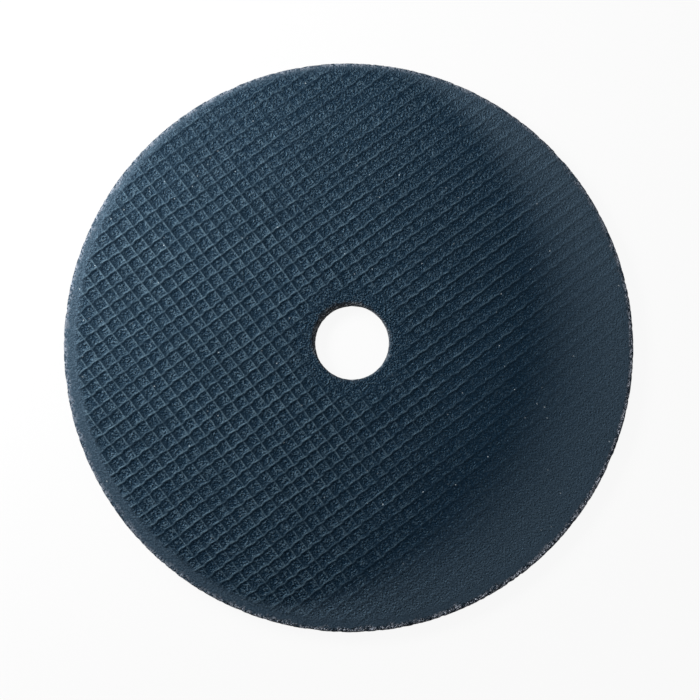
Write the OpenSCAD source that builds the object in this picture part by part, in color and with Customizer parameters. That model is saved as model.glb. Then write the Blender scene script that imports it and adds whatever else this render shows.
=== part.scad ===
// Reinforced cut-off wheel: one thin resin-bonded abrasive disc with a plain bore.
// The front face carries the imprint of the square glass weave that is moulded into it,
// between a plain margin at the rim and a plain clamping ring round the bore.
// The bore runs along Z, the back face lies on Z = 0 and the woven face looks up.

/* [Wheel] */
// Outer diameter
wheel_d = 76; // [60:1:100]
// Overall thickness, from the back face to the crests of the weave
wheel_t = 1.6; // [0.8:0.1:3.2]
// Diameter of the bore
bore_d = 10; // [6:0.5:22]

/* [Rim] */
// Chamfer at the two corners of the rim
rim_chamfer = 0.15; // [0.05:0.05:0.25]
// How far the front face falls between the weave and the rim
rim_fall = 0.08; // [0.02:0.02:0.2]

/* [Weave] */
// Distance from one warp thread to the next
warp_pitch = 1.65; // [1.4:0.01:3.2]
// Distance from one weft thread to the next
weft_pitch = 1.75; // [1.4:0.01:3.2]
// Direction of the warp threads, counted from X
warp_angle = 37; // [0:1:90]
// Depth of a mesh opening, from the thread crests to its lowest point
opening_depth = 0.15; // [0.05:0.01:0.25]
// Height of the lowest point of a mesh opening above the plain margins
opening_lift = 0.03; // [0.01:0.01:0.1]
// Width of the plain margin between the weave and the rim
rim_margin = 1.2; // [0.6:0.1:6]
// Width of the plain clamping ring between the weave and the bore
bore_margin = 2.6; // [1:0.1:6]

/* [Hidden] */
$fn = 180;

wheel_r = wheel_d / 2;
bore_r = bore_d / 2;
face_z = wheel_t - opening_depth - opening_lift;
rim_z = face_z - rim_fall;
weave_r = wheel_r - rim_margin;
clamp_r = bore_r + bore_margin;
// How far the cut of the bore runs out of each face
bore_run = 1;

// Heights of the weave's surface: thread crossings, openings, and its edge, sunk in the disc
crest_z = wheel_t;
opening_z = face_z + opening_lift;
edge_z = face_z - opening_lift;

// Tips of the two cones that close the weave's underside inside the disc
rim_tip_z = face_z / 4;
bore_tip_z = face_z / 2;

// Threads counted from the middle to the edge of the weave
warp_n = ceil(weave_r / warp_pitch);
weft_n = ceil(weave_r / weft_pitch);

// Corners of a mesh opening in turn, and the opening across the side that starts at each corner
CORNERS = [[0, 0], [1, 0], [1, 1], [0, 1]];
ACROSS = [[0, -1], [1, 0], [0, 1], [-1, 0]];
SIDES = [0:3];
// Middle of a mesh opening, counted in threads from its first corner
MIDDLE = [0.5, 0.5];

// Where weft thread i crosses warp thread j
function crossing(t) =
    let (along = t[0] * weft_pitch, aside = t[1] * warp_pitch)
    [along * cos(warp_angle) - aside * sin(warp_angle), along * sin(warp_angle) + aside * cos(warp_angle)];

// An opening belongs to the weave if its four corners lie between the two margins
function is_woven(cell) =
    let (reach = [for (c = CORNERS) norm(crossing(cell + c))])
    min(reach) >= clamp_r && max(reach) <= weave_r;

// A crossing is at full height where the four openings round it are woven
function is_inner(t) = len([for (c = CORNERS) if (is_woven(t - c)) 1]) == len(CORNERS);

function crossing_point(t) = concat(crossing(t), is_inner(t) ? crest_z : edge_z);
function opening_point(cell) = concat(crossing(cell + MIDDLE), opening_z);
function crossing_index(t) = (t[0] + weft_n) * (2 * warp_n + 1) + t[1] + warp_n;
function corner_index(cell, side) = crossing_index(cell + CORNERS[side % len(CORNERS)]);

// Turned section of the wheel, before the bore is cut
module disc_blank() {
    rotate_extrude()
        polygon([
            [0, 0],
            [wheel_r - rim_chamfer, 0],
            [wheel_r, rim_chamfer],
            [wheel_r, rim_z - rim_chamfer],
            [wheel_r - rim_chamfer, rim_z],
            [weave_r, face_z],
            [0, face_z]
        ]);
}

// Imprint of the weave: each mesh opening is a shallow four-sided dip between thread crests
module weave_imprint() {
    crossings = [for (i = [-weft_n:weft_n]) for (j = [-warp_n:warp_n]) [i, j]];
    openings = [for (t = crossings) if (is_woven(t)) t];
    first_opening = len(crossings);
    rim_tip = first_opening + len(openings);
    bore_tip = rim_tip + 1;
    middle_r = (weave_r + clamp_r) / 2;
    points = concat(
        [for (t = crossings) crossing_point(t)],
        [for (cell = openings) opening_point(cell)],
        [[0, 0, rim_tip_z], [0, 0, bore_tip_z]]
    );
    dips = [
        for (k = [0:len(openings) - 1]) for (s = SIDES)
            [corner_index(openings[k], s + 1), corner_index(openings[k], s), first_opening + k]
    ];
    underside = [
        for (cell = openings) for (s = SIDES) if (!is_woven(cell + ACROSS[s]))
            [
                corner_index(cell, s),
                corner_index(cell, s + 1),
                norm(crossing(cell + MIDDLE)) > middle_r ? rim_tip : bore_tip
            ]
    ];
    polyhedron(points, concat(dips, underside));
}

module abrasive_wheel() {
    color("#22343f")
        difference() {
            union() {
                disc_blank();
                weave_imprint();
            }
            translate([0, 0, -bore_run])
                cylinder(d = bore_d, h = wheel_t + 2 * bore_run);
        }
}

abrasive_wheel();
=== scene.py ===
"""Looks of the cut off wheel: one detailed mesh for the CAD solid, its material, light and camera."""

import math

import bpy
import numpy as np
from mathutils import Matrix, Vector
from mathutils.geometry import delaunay_2d_cdt


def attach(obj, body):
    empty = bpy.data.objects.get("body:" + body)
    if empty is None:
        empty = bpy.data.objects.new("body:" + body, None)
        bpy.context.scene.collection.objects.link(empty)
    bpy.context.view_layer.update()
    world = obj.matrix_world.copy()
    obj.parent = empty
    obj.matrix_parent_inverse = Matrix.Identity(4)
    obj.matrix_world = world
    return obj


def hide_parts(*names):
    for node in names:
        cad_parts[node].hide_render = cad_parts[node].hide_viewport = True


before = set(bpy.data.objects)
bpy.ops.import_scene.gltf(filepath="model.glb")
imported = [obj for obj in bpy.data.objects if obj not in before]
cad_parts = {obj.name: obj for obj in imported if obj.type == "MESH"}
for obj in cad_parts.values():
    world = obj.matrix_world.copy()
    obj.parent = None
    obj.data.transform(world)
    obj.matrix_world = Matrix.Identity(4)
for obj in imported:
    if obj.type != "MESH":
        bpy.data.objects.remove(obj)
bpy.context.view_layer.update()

MM = 0.001

# Sizes in millimetres, as in the part's source
RIM_R = 38.0
BORE_R = 5.0
FACE_Z = 1.42
CREST_Z = 1.60
RIM_Z = 1.34
WARP_PITCH = 1.65
WEFT_PITCH = 1.75
WARP_ANGLE = math.radians(37.0)

# Edge of the weave: mean radius, how far and which way it lies off centre, and its waviness
WEAVE_R = 36.95
WEAVE_SHIFT = 0.65
WEAVE_SHIFT_ANGLE = math.radians(50)
WEAVE_WAVE = 0.10
# Where the openings' floor starts to fall to the margin, where it ends, and how much sooner when calm
MARGIN_START = -0.80
MARGIN_END = 0.25
CALM_MARGIN = 17.0
# Pressed lip at the weave's edge: height, distance inside the edge, width
LIP_H, LIP_AT, LIP_W = 0.020, 0.12, 0.13
# Radii between which the face rises and the threads set in round the bore, and it falls at the rim
HUB_RISE = (5.2, 7.8)
HUB_THREADS = (5.6, 8.6)
RIM_FALL = (36.0, 38.4)
FALL_SHARE = 0.5
# Swell of the face: heights of its wide and its small waves
WIDE_SWELL_H, SMALL_SWELL_H = 0.012, 0.018

# Threads: floor of the mesh openings, height over it, least room under the CAD crests
OPENING_Z = 1.475
THREAD_H = 0.094
CREST_ROOM = 0.012
# Widths of the steep and the long side of a ridge, and the rounding of its top
STEEP_W = 0.24
LONG_W = 0.32
RIDGE_ROUND = 0.01
# How much the weft sinks under a warp thread, and over what width
UNDER_SHARE = 0.40
UNDER_W = 0.22
# Distance from a thread's line and width of its ridge, of the painted shade beside it and of its crest,
# which carries wear and a painted highlight
RIDGE_AT, RIDGE_W = 0.11, 0.25
SHADE_AT, SHADE_W = 0.22, 0.13
CREST_AT, CREST_W = 0.04, 0.105

# Lines of the face mesh round each thread, as distances from it, and how far they follow its wander
WARP_LINES = np.array([-0.44, -0.32, -0.20, -0.07, 0.02, 0.12, 0.25, WARP_PITCH / 2])
WEFT_LINES = np.array([-0.25, -0.12, -0.02, 0.11, 0.32, WEFT_PITCH / 2])
FOLLOW_W = 0.45

# Front face: radius of its rim, rings of points along the weave's edge, and the clear space round them
FRONT_R = 37.80
EDGE_RINGS = (-0.26, -0.12, 0.0, 0.13)
RING_CLEAR = 0.48
GRID_CLEAR = 0.42
BORE_CLEAR = 0.20
LIP_CLEAR = 0.10
RING_GAP = 0.065

# Rows of the rim (radius, height) and of the bore wall (share of the lip's wear, height), front to back
RIM_ROWS = ((37.94, 1.24), (38.0, 1.10), (38.0, 0.84), (38.0, 0.58), (38.0, 0.32), (37.95, 0.12))
BORE_ROWS = ((0.50, 1.08), (0.10, 0.76), (-0.15, 0.42), (-0.25, 0.14))
RIM_STEPS = 960
BORE_STEPS = 176

# Back face: its rim's radius, rings of points (first, end, step), and their spacing along a ring
BACK_R = FRONT_R - 0.05
BACK_RINGS = (6.2, 37.2, 1.55)
BACK_SPACING = 1.9
BACK_LEAST_STEPS = 24

# Wear of the rim's front edge: middle, half width, least width and what the worst place adds
EDGE_WEAR_AT = math.radians(-48)
EDGE_WEAR_HALF = math.radians(75)
EDGE_WEAR_LEAST = 0.06
EDGE_WEAR_MORE = 0.34
# Wear of the bore's front lip: middle, half width and depth
BORE_CHIP_AT = math.radians(138)
BORE_CHIP_HALF = math.radians(68)
BORE_CHIP_DEPTH = 0.36

# Map for baking: corner and size of each face, the rim's strips and the bore's strip
MAP_EDGE = 0.005
FRONT_MAP = 0.80
BACK_MAP_X, BACK_MAP = 0.815, 0.18
RIM_PARTS = 4
RIM_MAP_Y, RIM_MAP_STEP, RIM_MAP_H, RIM_MAP_W = 0.83, 0.034, 0.030, 0.99
BORE_MAP_Y, BORE_MAP_H, BORE_MAP_W = 0.968, 0.022, 0.36

# Grain of the material, as repeats over a metre
WORM_SCALE = 4300.0
GRIT_SCALE = 6500.0
CLOUD_SCALE = 90.0
GRAIN_SCALE = 4200.0
SPARKLE_SCALE = 3000.0

# Colours of the material
SLATE_DARK = (0.0014, 0.0122, 0.0290)
SLATE_LIGHT = (0.0026, 0.0155, 0.0350)
GRAIN_TOP = (0.0640, 0.1070, 0.1460)
FINE_SPECK = (0.0420, 0.0680, 0.0920)
# Crest colour: partly wear, partly a painted highlight on the lit side of each thread
CREST_WEAR_AND_HIGHLIGHT = (0.1120, 0.1780, 0.2280)
# Painted shade: dark colour on the long side of each thread, which faces away from the key light
PAINTED_SHADE = (0.0004, 0.0050, 0.0135)
# Margin film: pale resin at the weave's margin and, towards the calm lower right, a painted sheen
MARGIN_FILM_AND_SHEEN = (0.0950, 0.1420, 0.1900)
# Pale specks: pale abrasive grains, and painted glints
PALE_GRAIN_AND_GLINT = (0.42, 0.48, 0.52)
RIM_DARK = (0.030, 0.036, 0.052)
RIM_PALE = (0.62, 0.66, 0.76)
BORE_DARK = (0.036, 0.031, 0.031)
BORE_LIGHT = (0.120, 0.105, 0.096)
BORE_GRAIN = (0.42, 0.44, 0.47)

# Sheen, even all over, and depth of the fine relief in metres
SPECULAR_LEVEL = 0.44
SPECULAR_TINT = (0.44, 0.75, 1.0, 1.0)
RELIEF_DEPTH = 0.00024

# Light of the room: middle of its dark part (azimuth, elevation), cosines of its edge, level round it
DOME_TOP = (-16.0, 82.0)
DOME_EDGE = (0.985, 0.87)
DOME_LEVEL = 0.012

# Sizes of the softboxes in metres
WIDE, SLIM, LONG = (0.08, 0.04), (0.08, 0.03), (0.10, 0.03)

# Floor: half its side and its depth under the wheel in metres, its colour, how white the camera sees it
FLOOR_HALF = 1.5
FLOOR_DROP = 0.00002
FLOOR_COLOUR = (0.86, 0.86, 0.86, 1.0)
FLOOR_WHITE = 0.92
WHITE = (1.0, 1.0, 1.0, 1.0)

# Camera: place and aim in millimetres of the part's frame, lens and sensor, nearest and farthest distance
CAMERA_PLACE = (-3.991, -6.744, 106.205)
CAMERA_AIM = (-0.307, -1.052, 1.5)
CAMERA_LENS = 40.657
CAMERA_SENSOR = 36.0
CAMERA_CLIP = (0.005, 10.0)

NOISE_N = 128
NOISE_SHIFT = 4096.0
TINY_AREA = 1e-9
WELD = 1e-6


def eased(t):
    return t * t * (3 - 2 * t)


def noise(x, y, cell, seed):
    """Smooth seeded noise from 0 to 1 that changes over the given cell size."""
    grid = np.random.RandomState(seed).rand(NOISE_N, NOISE_N)
    u = np.asarray(x) / cell + NOISE_SHIFT
    v = np.asarray(y) / cell + NOISE_SHIFT
    i = np.floor(u).astype(int)
    j = np.floor(v).astype(int)
    a = eased(u - i)
    b = eased(v - j)

    def corner(p, q):
        return grid[(i + p) % NOISE_N, (j + q) % NOISE_N]

    near = corner(0, 0) * (1 - a) + corner(1, 0) * a
    far = corner(0, 1) * (1 - a) + corner(1, 1) * a
    return near * (1 - b) + far * b


def warp_noise(u, j, stride, cell, seed):
    """Noise along warp thread j; the stride sets the threads apart."""
    return noise(u, j * stride, cell, seed)


def weft_noise(v, i, stride, cell, seed):
    return noise(i * stride, v, cell, seed)


def smooth(lo, hi, x):
    return eased(np.clip((x - lo) / (hi - lo), 0.0, 1.0))


def faded(share, lo, hi, x):
    """Falls from 1 by the given share while x goes from lo to hi."""
    return 1.0 - share * smooth(lo, hi, x)


def bell(d, width, power=2):
    return np.exp(-((d / width) ** power))


def ridge(d):
    """Section of a thread's ridge, from 0 to 1, with its steep side at positive d."""
    slope = d / np.where(d > 0, STEEP_W, LONG_W)
    return np.clip(1.0 - np.sqrt(slope**2 + RIDGE_ROUND), 0.0, 1.0)


def reach(x, y, degrees):
    """How far a point lies towards the given direction, as a share of the wheel's radius."""
    a = math.radians(degrees)
    return (x * math.cos(a) + y * math.sin(a)) / RIM_R


def turn_from(angle, middle):
    """Angle counted from the middle, between half a turn back and half a turn on."""
    return (np.asarray(angle) - middle + math.pi) % (2 * math.pi) - math.pi


def to_xy(u, v):
    c = math.cos(WARP_ANGLE)
    s = math.sin(WARP_ANGLE)
    return u * c - v * s, u * s + v * c


def to_uv(x, y):
    c = math.cos(WARP_ANGLE)
    s = math.sin(WARP_ANGLE)
    return x * c + y * s, -x * s + y * c


def angles(steps):
    return np.arange(steps) * 2 * math.pi / steps


def turned(radius, angle):
    return np.c_[radius * np.cos(angle), radius * np.sin(angle)]


def circle(radius, steps):
    """Points of a circle on the back face's plane."""
    return np.c_[turned(radius, angles(steps)), np.zeros(steps)]


T_RIM = angles(RIM_STEPS)
T_BORE = angles(BORE_STEPS)


def rim_noise(z, cell, seed):
    return noise(RIM_R * T_RIM, z, cell, seed)


def bore_noise(z, cell, seed):
    return noise(BORE_R * T_BORE, z, cell, seed)


def weave_edge(angle):
    """Radius at which the weave ends: a little off centre, so the margin is wide at the lower left."""
    shift = WEAVE_SHIFT * np.cos(angle - WEAVE_SHIFT_ANGLE)
    return WEAVE_R + shift + WEAVE_WAVE * np.sin(3 * angle + 1.0)


def warp_wander(u, j):
    """How far warp thread j strays sideways at u: a bend at each weft thread, slow and quick drift."""
    turn = 2 * math.pi * (u / WEFT_PITCH + 0.3 * warp_noise(u, j, stride=23.0, cell=6.0, seed=10))
    return (
        0.075 * (0.5 * np.sin(2 * turn) - np.sin(turn))
        + 0.22 * (warp_noise(u, j, stride=37.0, cell=5.0, seed=11) - 0.5)
        + 0.10 * (warp_noise(u, j, stride=11.0, cell=1.3, seed=12) - 0.5)
    )


def weft_wander(v, i):
    """How far weft thread i strays sideways at v."""
    slow = weft_noise(v, i, stride=29.0, cell=5.0, seed=13)
    quick = weft_noise(v, i, stride=7.0, cell=1.3, seed=14)
    return 0.20 * (slow - 0.5) + 0.08 * (quick - 0.5)


def strengths(x, y):
    """How strongly each thread set shows: both fade to the lower right, and the weft to the right."""
    r = np.hypot(x, y)
    low = reach(x, y, degrees=-38)
    right = reach(x, y, degrees=20)
    up = y / RIM_R
    warp = faded(0.86, 0.28, 0.92, low) * faded(0.20, 0.40, 0.95, x / RIM_R) * faded(0.38, 0.20, 0.90, up)
    weft = faded(0.86, -0.30, 0.70, right) * faded(0.75, 0.28, 0.92, low)
    weft = weft * faded(0.25, 0.15, 0.75, -up) * faded(0.45, 0.30, 0.90, up)
    hub = smooth(*HUB_THREADS, r)
    edge = 1.0 - smooth(-0.30, 0.05, r - weave_edge(np.arctan2(y, x)))
    return warp * (0.15 + 0.85 * hub) * edge, weft * (0.05 + 0.95 * hub) * edge


def front_height(x, y):
    """Height of the woven face, and the marks that its material reads."""
    u, v = to_uv(x, y)
    r = np.hypot(x, y)
    past_edge = r - weave_edge(np.arctan2(y, x))

    # Distance from the nearest thread of each set, and the height of both
    j = np.round(v / WARP_PITCH)
    i = np.round(u / WEFT_PITCH)
    d_warp = v - j * WARP_PITCH - warp_wander(u, j)
    d_weft = u - i * WEFT_PITCH - weft_wander(v, i)
    s_warp, s_weft = strengths(x, y)
    along_warp = (
        0.62
        + 0.5 * warp_noise(u, j, stride=17.0, cell=2.6, seed=21)
        + 0.30 * (warp_noise(u, j, stride=5.0, cell=0.55, seed=22) - 0.5)
    )
    along_weft = (
        0.66
        + 0.5 * weft_noise(v, i, stride=13.0, cell=2.2, seed=23)
        + 0.35 * (weft_noise(v, i, stride=3.0, cell=0.55, seed=24) - 0.5)
    )
    under = 1.0 - UNDER_SHARE * bell(d_warp, UNDER_W)
    warp = ridge(d_warp) * s_warp * along_warp
    weft = ridge(-d_weft) * s_weft * along_weft * under
    thread = warp * THREAD_H + weft * THREAD_H * (1.0 - np.clip(warp, 0, 1))
    thread = np.clip(thread, 0.0, CREST_Z - OPENING_Z - CREST_ROOM)

    # Floor under the threads: openings, margin, hub, pressed lip at the weave's edge, slight swell
    calm = smooth(-0.15, 0.85, reach(x, y, degrees=-15))
    inside = 1.0 - smooth(MARGIN_START - CALM_MARGIN * calm, MARGIN_END, past_edge)
    woven = 1.0 - smooth(MARGIN_START, MARGIN_END, past_edge)
    floor = FACE_Z + (OPENING_Z - FACE_Z) * inside * smooth(*HUB_RISE, r)
    fall = FALL_SHARE * (FACE_Z - RIM_Z) * smooth(*RIM_FALL, r)
    low = smooth(0.0, 0.8, reach(x, y, degrees=-25))
    lip = LIP_H * (1 - low) * bell(past_edge + LIP_AT, LIP_W) * (0.4 + noise(x, y, cell=1.7, seed=31))
    wide_swell = noise(x, y, cell=3.1, seed=32) - 0.5
    small_swell = noise(x, y, cell=0.75, seed=33) - 0.5
    swell = WIDE_SWELL_H * wide_swell + SMALL_SWELL_H * small_swell

    # Marks: crests with wear and a painted highlight, grain in the openings, painted shade beside the
    # threads, plain margin whose pale film is partly painted sheen, calm side
    on_warp = bell(d_warp + RIDGE_AT, RIDGE_W, power=4) * s_warp
    on_weft = bell(d_weft - RIDGE_AT, RIDGE_W, power=4) * s_weft
    clear = (1 - on_warp) * (1 - on_weft)
    # Painted shade beside each thread, on its long side away from the key light, stronger in some places
    # than in others
    warp_shade_share = 0.4 + 0.8 * warp_noise(u, j, stride=19.0, cell=0.9, seed=25)
    weft_shade_share = 0.4 + 0.8 * weft_noise(v, i, stride=19.0, cell=0.9, seed=26)
    painted_shade = np.maximum(
        bell(d_warp + SHADE_AT, SHADE_W) * s_warp * warp_shade_share,
        bell(d_weft - SHADE_AT, SHADE_W) * s_weft * weft_shade_share,
    )
    # The crest mark lies towards each thread's steep side, which faces the key light, and carries a
    # painted highlight as well as wear
    crest = np.maximum(
        bell(d_warp - CREST_AT, CREST_W) * s_warp * along_warp,
        bell(d_weft + CREST_AT, CREST_W) * s_weft * along_weft * under,
    )
    far = smooth(0.35, 0.90, reach(x, y, degrees=-22))
    marks = {
        "crest": np.clip(crest, 0, 1) * (1 - 0.42 * calm),
        "opening": clear * (0.12 + 0.88 * woven) * (1 - 0.40 * calm) * (1 - 0.15 * far),
        "painted_shade": painted_shade * (1 - 0.35 * calm),
        # Margin mark: its pale film is partly a painted sheen, wide on the calm side
        "margin": (1 - inside) * (1 - 0.16 * calm),
        "calm": calm,
    }
    return floor + thread - fall + lip + swell, marks


def edge_wear(angle):
    """How much wider the worn front edge of the rim is: most at the lower right."""
    share = turn_from(angle, EDGE_WEAR_AT) / EDGE_WEAR_HALF
    return EDGE_WEAR_LEAST + EDGE_WEAR_MORE * np.clip(1 - share**2, 0, 1)


def bore_chip(angle):
    """How far the front lip of the bore is worn back: most at the upper left."""
    share = turn_from(angle, BORE_CHIP_AT) / BORE_CHIP_HALF
    return BORE_CHIP_DEPTH * np.clip(1 - share**2, 0, 1) ** 0.7


def triangulated(points, outer, inner):
    """Triangles over flat points: the first of them are the outer loop, the next the inner loop."""
    loops = [(k, (k + 1) % outer) for k in range(outer)]
    loops += [(outer + k, outer + (k + 1) % inner) for k in range(inner)]
    got = delaunay_2d_cdt([Vector(p) for p in points], loops, [], 0, WELD, True)
    where = np.array([sources[0] for sources in got[3]])
    tris = where[np.array(got[2])]
    hole = ((tris >= outer) & (tris < outer + inner)).all(1)
    tris = tris[~hole]
    a, b, c = np.moveaxis(np.asarray(points)[tris], 1, 0)
    turn = (b[:, 0] - a[:, 0]) * (c[:, 1] - a[:, 1]) - (b[:, 1] - a[:, 1]) * (c[:, 0] - a[:, 0])
    tris[turn < 0] = tris[turn < 0][:, ::-1]
    return tris[np.abs(turn) > TINY_AREA]


def weave_points():
    """Points of the woven face on lines that follow the threads."""
    n = int(RIM_R / min(WARP_PITCH, WEFT_PITCH)) + 2
    threads = np.arange(-n, n + 1)
    j, dv = [q.ravel() for q in np.meshgrid(threads, WARP_LINES, indexing="ij")]
    i, du = [q.ravel() for q in np.meshgrid(threads, WEFT_LINES, indexing="ij")]
    u, v = np.meshgrid(i * WEFT_PITCH + du, j * WARP_PITCH + dv, indexing="ij")
    near_warp = bell(dv, FOLLOW_W, power=4)[None, :]
    near_weft = bell(du, FOLLOW_W, power=4)[:, None]
    vv = v + near_warp * warp_wander(u, j[None, :])
    uu = u + near_weft * weft_wander(v, i[:, None])
    return np.c_[to_xy(uu.ravel(), vv.ravel())]


def front_face():
    """Points, triangles and marks of the front face; its two loops come first."""
    outer_r = FRONT_R - 0.06 - 0.35 * edge_wear(T_RIM) + 0.20 * (rim_noise(0, cell=0.42, seed=41) - 0.5)
    lip_r = BORE_R + bore_chip(T_BORE) + 0.01 + 0.08 * (bore_noise(0, cell=0.35, seed=42) - 0.5)
    rings = np.vstack([turned(weave_edge(T_RIM) + off, T_RIM) for off in EDGE_RINGS])
    rings = rings[np.hypot(rings[:, 0], rings[:, 1]) < FRONT_R - RING_CLEAR]
    grid = weave_points()
    r = np.hypot(grid[:, 0], grid[:, 1])
    a = np.arctan2(grid[:, 1], grid[:, 0])
    keep = (r < FRONT_R - GRID_CLEAR) & (r > BORE_R + BORE_CLEAR)
    keep &= r > np.interp(a % (2 * math.pi), T_BORE, lip_r, period=2 * math.pi) + LIP_CLEAR
    for off in EDGE_RINGS:
        keep &= np.abs(r - (weave_edge(a) + off)) > RING_GAP
    flat = np.vstack([turned(outer_r, T_RIM), turned(lip_r, T_BORE), rings, grid[keep]])
    tris = triangulated(flat, RIM_STEPS, BORE_STEPS)
    z, marks = front_height(flat[:, 0], flat[:, 1])
    z[:RIM_STEPS] -= 0.03 + 0.05 * rim_noise(3.0, cell=0.4, seed=43)
    z[RIM_STEPS : RIM_STEPS + BORE_STEPS] -= 0.02 + 0.04 * bore_noise(3.0, cell=0.35, seed=44)
    return np.c_[flat, z], tris, marks


def rim_row(radius, height):
    """One row of the rim's points, with the dents of the bare grain."""
    dent = 0.20 * np.clip(rim_noise(height * 9.0, cell=0.38, seed=45) - 0.5 + 0.12, 0, 1)
    dent += 0.05 * rim_noise(height * 9.0 + 50, cell=0.26, seed=46)
    lift = 0.05 * (rim_noise(height * 9.0 + 20, cell=0.4, seed=47) - 0.5)
    return np.c_[turned(radius - dent, T_RIM), height + lift]


def bore_row(share, height):
    """One row of the bore wall's points, worn back near the front lip."""
    radius = BORE_R + share * bore_chip(T_BORE) - 0.05 + 0.05 * bore_noise(height * 7.0, cell=0.3, seed=48)
    return np.c_[turned(radius, T_BORE), np.full(BORE_STEPS, height)]


def back_face():
    """Points and triangles of the plain back face; its two loops come first."""
    rows = [circle(BACK_R, RIM_STEPS), circle(BORE_R, BORE_STEPS)]
    for radius in np.arange(*BACK_RINGS):
        steps = max(BACK_LEAST_STEPS, int(2 * math.pi * radius / BACK_SPACING))
        rows.append(circle(radius, steps))
    points = np.vstack(rows)
    return points, triangulated(points[:, :2], RIM_STEPS, BORE_STEPS)[:, ::-1]


def strip(starts, steps, outward):
    """Quads between rows of points, and each corner's place as (step, row)."""
    k = np.arange(steps)
    n = (k + 1) % steps
    faces = []
    places = []
    for m in range(len(starts) - 1):
        a = starts[m]
        b = starts[m + 1]
        here = np.full(steps, m)
        quad = np.c_[a + k, b + k, b + n, a + n]
        corners = [np.c_[k, here], np.c_[k, here + 1], np.c_[k + 1, here + 1], np.c_[k + 1, here]]
        place = np.stack(corners, axis=1)
        faces.append(quad if outward else quad[:, ::-1])
        places.append(place if outward else place[:, ::-1])
    return np.vstack(faces), np.vstack(places).astype(float)


def disc_map(points, tris, low, size):
    return np.array(low) + (points[tris][:, :, :2] / (2 * RIM_R) + 0.5) * size


def rim_map(place):
    """The rim lies in strips, one above the other."""
    part_steps = RIM_STEPS / RIM_PARTS
    part = np.minimum((place[:, :, 0].min(1) // part_steps).astype(int), RIM_PARTS - 1)[:, None]
    along = place[:, :, 0] / part_steps - part
    rows = len(RIM_ROWS) + 1
    height = RIM_MAP_Y + RIM_MAP_STEP * part + place[:, :, 1] / rows * RIM_MAP_H
    return np.stack([MAP_EDGE + along * RIM_MAP_W, height], axis=2)


def bore_map(place):
    rows = len(BORE_ROWS) + 1
    along = MAP_EDGE + place[:, :, 0] / BORE_STEPS * BORE_MAP_W
    return np.stack([along, BORE_MAP_Y + place[:, :, 1] / rows * BORE_MAP_H], axis=2)


def all_marks(verts, front_marks):
    """Marks of every point: those of the front face, then the wear at the rim and the bore."""
    count = len(verts)
    marks = {name: np.zeros(count) for name in front_marks}
    marks["opening"][:] = 0.6
    for name, values in front_marks.items():
        marks[name][: len(values)] = values
    radius = np.hypot(verts[:, 0], verts[:, 1])
    angle = np.arctan2(verts[:, 1], verts[:, 0])
    worn = edge_wear(angle)
    bare_rim = smooth(RIM_R - 0.40 - worn, RIM_R - 0.20 - 0.7 * worn, radius)
    marks["edge"] = bare_rim * (0.28 + 1.80 * worn)
    chip = bore_chip(angle)
    bare_lip = 1 - smooth(BORE_R + 0.06 + 0.2 * chip, BORE_R + 0.26 + 0.9 * chip, radius)
    marks["bore"] = bare_lip * (0.35 + 1.8 * chip)
    return marks


def build_wheel():
    """The wheel as one closed mesh: front face, rim, bore wall and back face."""
    front, front_tris, front_marks = front_face()
    back, back_tris = back_face()
    rim_rows = [rim_row(*row) for row in RIM_ROWS]
    bore_rows = [bore_row(*row) for row in BORE_ROWS]
    verts = np.vstack([front, *rim_rows, *bore_rows, back])
    rim_at = len(front)
    bore_at = rim_at + RIM_STEPS * len(rim_rows)
    back_at = bore_at + BORE_STEPS * len(bore_rows)
    back_tris = back_tris + back_at
    rim_starts = [0, *range(rim_at, bore_at, RIM_STEPS), back_at]
    bore_starts = [RIM_STEPS, *range(bore_at, back_at, BORE_STEPS), back_at + RIM_STEPS]
    rim_quads, rim_place = strip(rim_starts, RIM_STEPS, outward=True)
    bore_quads, bore_place = strip(bore_starts, BORE_STEPS, outward=False)

    pieces = [front_tris, back_tris, rim_quads, bore_quads]
    maps = [
        disc_map(verts, front_tris, (MAP_EDGE, MAP_EDGE), FRONT_MAP),
        disc_map(verts, back_tris, (BACK_MAP_X, MAP_EDGE), BACK_MAP),
        rim_map(rim_place),
        bore_map(bore_place),
    ]
    loops = np.concatenate([faces.ravel() for faces in pieces])
    totals = np.concatenate([np.full(len(faces), faces.shape[1]) for faces in pieces])
    starts = np.concatenate([[0], np.cumsum(totals)[:-1]])
    uv = np.concatenate([places.reshape(-1, 2) for places in maps])

    mesh = bpy.data.meshes.new("wheel_body")
    mesh.vertices.add(len(verts))
    mesh.vertices.foreach_set("co", (verts * MM).astype(np.float32).ravel())
    mesh.loops.add(len(loops))
    mesh.loops.foreach_set("vertex_index", loops.astype(np.int32))
    mesh.polygons.add(len(totals))
    mesh.polygons.foreach_set("loop_start", starts.astype(np.int32))
    mesh.polygons.foreach_set("loop_total", totals.astype(np.int32))
    mesh.update(calc_edges=True)
    mesh.validate()
    mesh.polygons.foreach_set("use_smooth", np.ones(len(totals), bool))
    layer = mesh.uv_layers.new(name="OFBake")
    layer.data.foreach_set("uv", uv.astype(np.float32).ravel())
    for name, values in all_marks(verts, front_marks).items():
        attribute = mesh.attributes.new(name, "FLOAT", "POINT")
        attribute.data.foreach_set("value", values.astype(np.float32))
    body = bpy.data.objects.new("wheel_body", mesh)
    bpy.context.scene.collection.objects.link(body)
    return body


def node(nt, kind, **values):
    """A new node; each value goes to the socket of that name, or else to the node's own setting."""
    n = nt.nodes.new(kind)
    for key, value in values.items():
        if key in n.inputs.keys():
            n.inputs[key].default_value = value
        else:
            setattr(n, key, value)
    return n


def feed(nt, socket, value):
    """Sets a socket to a number or a colour, or links another socket to it."""
    if isinstance(value, (int, float)):
        socket.default_value = value
    elif isinstance(value, tuple):
        socket.default_value = (*value, 1.0)
    else:
        nt.links.new(value, socket)


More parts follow.
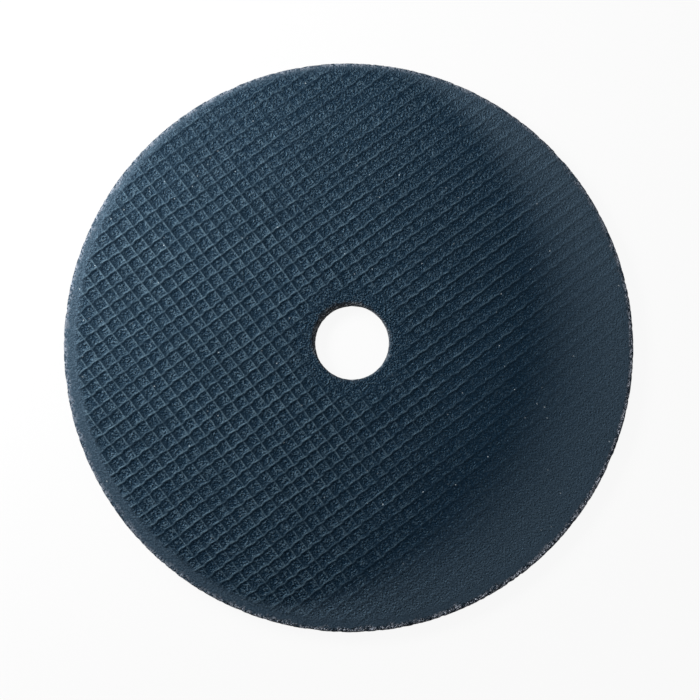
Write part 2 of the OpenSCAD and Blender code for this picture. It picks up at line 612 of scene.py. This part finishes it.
def ramp(nt, source, lo, hi, start, end):
    """Goes smoothly from start to end while the source goes from lo to hi."""
    n = node(nt, "ShaderNodeMapRange", interpolation_type="SMOOTHSTEP")
    for name, value in (("From Min", lo), ("From Max", hi), ("To Min", start), ("To Max", end)):
        n.inputs[name].default_value = value
    nt.links.new(source, n.inputs["Value"])
    return n.outputs["Result"]


def maths(nt, operation, a, b):
    n = node(nt, "ShaderNodeMath", operation=operation)
    feed(nt, n.inputs[0], a)
    feed(nt, n.inputs[1], b)
    return n.outputs[0]


def mixed(nt, factor, a, b):
    """Colour a, with b over it by the given factor."""
    n = node(nt, "ShaderNodeMix", data_type="RGBA")
    feed(nt, n.inputs[0], factor)
    feed(nt, n.inputs[6], a)
    feed(nt, n.inputs[7], b)
    return n.outputs[2]


def abrasive_material():
    mat = bpy.data.materials.new("resin_bonded_abrasive")
    mat.use_nodes = True
    nt = mat.node_tree
    bsdf = nt.nodes["Principled BSDF"]
    link = nt.links.new
    where = nt.nodes.new("ShaderNodeTexCoord").outputs["Object"]

    def texture(kind, scale, **values):
        n = node(nt, kind, Scale=scale, **values)
        link(where, n.inputs["Vector"])
        return n

    def mark(name):
        return node(nt, "ShaderNodeAttribute", attribute_name=name).outputs["Fac"]

    def channels(source):
        n = nt.nodes.new("ShaderNodeSeparateColor")
        link(source.outputs["Color"], n.inputs[0])
        return n.outputs

    def times(a, b):
        return maths(nt, "MULTIPLY", a, b)

    def plus(a, b):
        return maths(nt, "ADD", a, b)

    def minus(a, b):
        return maths(nt, "SUBTRACT", a, b)

    def over(base, factor, colour):
        return mixed(nt, factor, base, colour)

    crest = mark("crest")
    opening = mark("opening")
    painted_shade = mark("painted_shade")
    margin = mark("margin")
    edge = mark("edge")
    bore = mark("bore")
    calm = mark("calm")
    noisy = "ShaderNodeTexNoise"
    worms = texture(noisy, WORM_SCALE, Detail=0.6, Roughness=0.5, Distortion=0.3).outputs["Fac"]
    grit = texture(noisy, GRIT_SCALE, Detail=1.0, Roughness=0.5).outputs["Fac"]
    cloud = texture(noisy, CLOUD_SCALE, Detail=3.0, Roughness=0.6).outputs["Fac"]
    grains = texture("ShaderNodeTexVoronoi", GRAIN_SCALE)
    sparkle = texture("ShaderNodeTexVoronoi", SPARKLE_SCALE)
    grain_kind = channels(grains)[1]
    sparkle_kind = channels(sparkle)[0]

    # Slate resin with grain in the openings, fine specks on the calm side, crests lighter with wear and a
    # painted highlight, and painted shade beside the threads
    base = mixed(nt, ramp(nt, cloud, 0.35, 0.68, 0.0, 1.0), SLATE_DARK, SLATE_LIGHT)
    muted = minus(1.0, times(calm, 0.68))
    base = over(base, times(ramp(nt, worms, 0.50, 0.68, 0.0, 0.95), times(opening, muted)), GRAIN_TOP)
    base = over(base, times(ramp(nt, grit, 0.58, 0.74, 0.0, 0.5), calm), FINE_SPECK)
    broken = ramp(nt, worms, 0.36, 0.58, 0.45, 1.0)
    # Crests lighter: wear, and a painted highlight on the lit side
    base = over(base, times(ramp(nt, crest, 0.10, 0.95, 0.0, 0.85), broken), CREST_WEAR_AND_HIGHLIGHT)
    # Painted shade on each thread's long, unlit side
    base = over(base, times(painted_shade, 0.85), PAINTED_SHADE)

    # Pale film on the margin, partly pale resin and partly a painted sheen that grows towards the calm
    # side, with the hollows of the grain in it, and a few pale specks that are grains and painted glints
    plain = minus(1.0, times(calm, 0.35))
    hollows = times(ramp(nt, worms, 0.34, 0.66, 0.50, 0.0), plain)
    pale = times(plus(0.54, times(calm, 0.10)), minus(1.0, hollows))
    base = over(base, times(margin, pale), MARGIN_FILM_AND_SHEEN)
    # A few pale specks: grains, and painted glints
    rare = ramp(nt, sparkle_kind, 0.9935, 0.9975, 0.0, 1.0)
    near = ramp(nt, sparkle.outputs["Distance"], 0.16, 0.36, 1.0, 0.0)
    base = over(base, times(times(rare, near), 0.8), PALE_GRAIN_AND_GLINT)

    # Bare grain at the worn rim, brown grain at the worn lip of the bore
    bare = mixed(nt, ramp(nt, grain_kind, 0.34, 0.68, 0.0, 1.0), RIM_DARK, RIM_PALE)
    base = over(base, times(edge, 0.9), bare)
    brown = mixed(nt, ramp(nt, grit, 0.35, 0.65, 0.0, 1.0), BORE_DARK, BORE_LIGHT)
    brown = over(brown, ramp(nt, grain_kind, 0.64, 0.86, 0.0, 1.0), BORE_GRAIN)
    base = over(base, times(bore, 0.9), brown)
    link(base, bsdf.inputs["Base Color"])

    rough = ramp(nt, worms, 0.3, 0.7, 0.57, 0.51)
    for zone, share in ((edge, 0.25), (margin, 0.04), (calm, -0.08), (painted_shade, 0.30)):
        rough = plus(rough, times(zone, share))
    link(rough, bsdf.inputs["Roughness"])
    bsdf.inputs["Specular IOR Level"].default_value = SPECULAR_LEVEL
    bsdf.inputs["Specular Tint"].default_value = SPECULAR_TINT

    # Relief: grains under the resin skin, fine grit, and pits between the bare grains of the rim
    share = plus(times(plain, 0.20), times(opening, 0.80))
    high = plus(times(minus(worms, 0.5), share), times(grit, 0.06))
    pits = times(minus(grains.outputs["Distance"], 0.45), edge)
    high = plus(high, times(pits, -1.2))
    bump = node(nt, "ShaderNodeBump", Strength=1.0, Distance=RELIEF_DEPTH)
    link(high, bump.inputs["Height"])
    link(bump.outputs["Normal"], bsdf.inputs["Normal"])
    return mat


def direction(azimuth, elevation):
    a = math.radians(azimuth)
    e = math.radians(elevation)
    return Vector((math.cos(a) * math.cos(e), math.sin(a) * math.cos(e), math.sin(e)))


def dome(nt):
    """Dim light of the room, dark overhead."""
    dot = node(nt, "ShaderNodeVectorMath", operation="DOT_PRODUCT")
    dot.inputs[1].default_value = direction(*DOME_TOP)
    nt.links.new(nt.nodes.new("ShaderNodeTexCoord").outputs["Generated"], dot.inputs[0])
    return ramp(nt, dot.outputs["Value"], *DOME_EDGE, 0.0, DOME_LEVEL)


def blended(nt, factor, first, second, kind):
    """Mixes two shaders into a new output node."""
    both = nt.nodes.new("ShaderNodeMixShader")
    nt.links.new(factor, both.inputs[0])
    nt.links.new(first.outputs[0], both.inputs[1])
    nt.links.new(second.outputs[0], both.inputs[2])
    nt.links.new(both.outputs[0], nt.nodes.new(kind).inputs["Surface"])


def pale_floor():
    mesh = bpy.data.meshes.new("floor")
    h = FLOOR_HALF
    mesh.from_pydata([(-h, -h, 0), (h, -h, 0), (h, h, 0), (-h, h, 0)], [], [(0, 1, 2, 3)])
    floor = bpy.data.objects.new("floor", mesh)
    floor.location.z = -FLOOR_DROP
    bpy.context.scene.collection.objects.link(floor)
    mat = bpy.data.materials.new("pale_floor")
    mat.use_nodes = True
    nt = mat.node_tree
    nt.nodes.clear()
    lit = node(nt, "ShaderNodeBsdfDiffuse", Color=FLOOR_COLOUR)
    white = node(nt, "ShaderNodeEmission", Color=WHITE, Strength=1.0)
    camera_ray = nt.nodes.new("ShaderNodeLightPath").outputs["Is Camera Ray"]
    blended(nt, maths(nt, "MULTIPLY", camera_ray, FLOOR_WHITE), lit, white, "ShaderNodeOutputMaterial")
    mesh.materials.append(mat)


def studio_world():
    world = bpy.data.worlds.new("studio")
    bpy.context.scene.world = world
    world.use_nodes = True
    nt = world.node_tree
    nt.nodes.clear()
    dim = node(nt, "ShaderNodeBackground", Color=WHITE)
    nt.links.new(dome(nt), dim.inputs["Strength"])
    white = node(nt, "ShaderNodeBackground", Color=WHITE, Strength=1.0)
    camera_ray = nt.nodes.new("ShaderNodeLightPath").outputs["Is Camera Ray"]
    blended(nt, camera_ray, dim, white, "ShaderNodeOutputWorld")


def softbox(name, azimuth, elevation, distance, size, power, aim):
    """An area lamp; the aim is in millimetres, size and distance in metres."""
    data = bpy.data.lights.new(name, "AREA")
    data.shape = "RECTANGLE"
    data.size, data.size_y = size
    data.energy = power
    lamp = bpy.data.objects.new(name, data)
    back = direction(azimuth, elevation)
    lamp.location = Vector((*aim, 0.0)) * MM + back * distance
    lamp.rotation_mode = "QUATERNION"
    lamp.rotation_quaternion = (-back).to_track_quat("-Z", "Y")
    lamp.visible_camera = False
    bpy.context.scene.collection.objects.link(lamp)


def camera():
    data = bpy.data.cameras.new("camera")
    data.sensor_width = CAMERA_SENSOR
    data.lens = CAMERA_LENS
    data.clip_start, data.clip_end = CAMERA_CLIP
    cam = bpy.data.objects.new("camera", data)
    place = Vector(CAMERA_PLACE) * MM
    look = (Vector(CAMERA_AIM) * MM - place).normalized()
    right = look.cross(Vector((0, 1, 0))).normalized()
    up = right.cross(look)
    cam.location = place
    cam.rotation_mode = "QUATERNION"
    cam.rotation_quaternion = Matrix((right, up, -look)).transposed().to_quaternion()
    bpy.context.scene.collection.objects.link(cam)
    bpy.context.scene.camera = cam


wheel = build_wheel()
wheel.data.materials.append(abrasive_material())
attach(wheel, "root")
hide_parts("abrasive_wheel")

pale_floor()
studio_world()
softbox("key", azimuth=150, elevation=34, distance=0.12, size=WIDE, power=0.252, aim=(-26.0, 14.0))
softbox("fill_left", azimuth=188, elevation=34, distance=0.10, size=WIDE, power=0.022, aim=(-31.0, -4.0))
softbox("fill_top", azimuth=100, elevation=44, distance=0.10, size=SLIM, power=0.034, aim=(-4.0, 36.0))
softbox("fill_right", azimuth=-35, elevation=56, distance=0.08, size=LONG, power=0.007, aim=(31.0, -18.0))
softbox("fill_corner", azimuth=25, elevation=56, distance=0.08, size=SLIM, power=0.006, aim=(32.0, 15.0))
camera()
bpy.context.scene.view_settings.view_transform = "Standard"
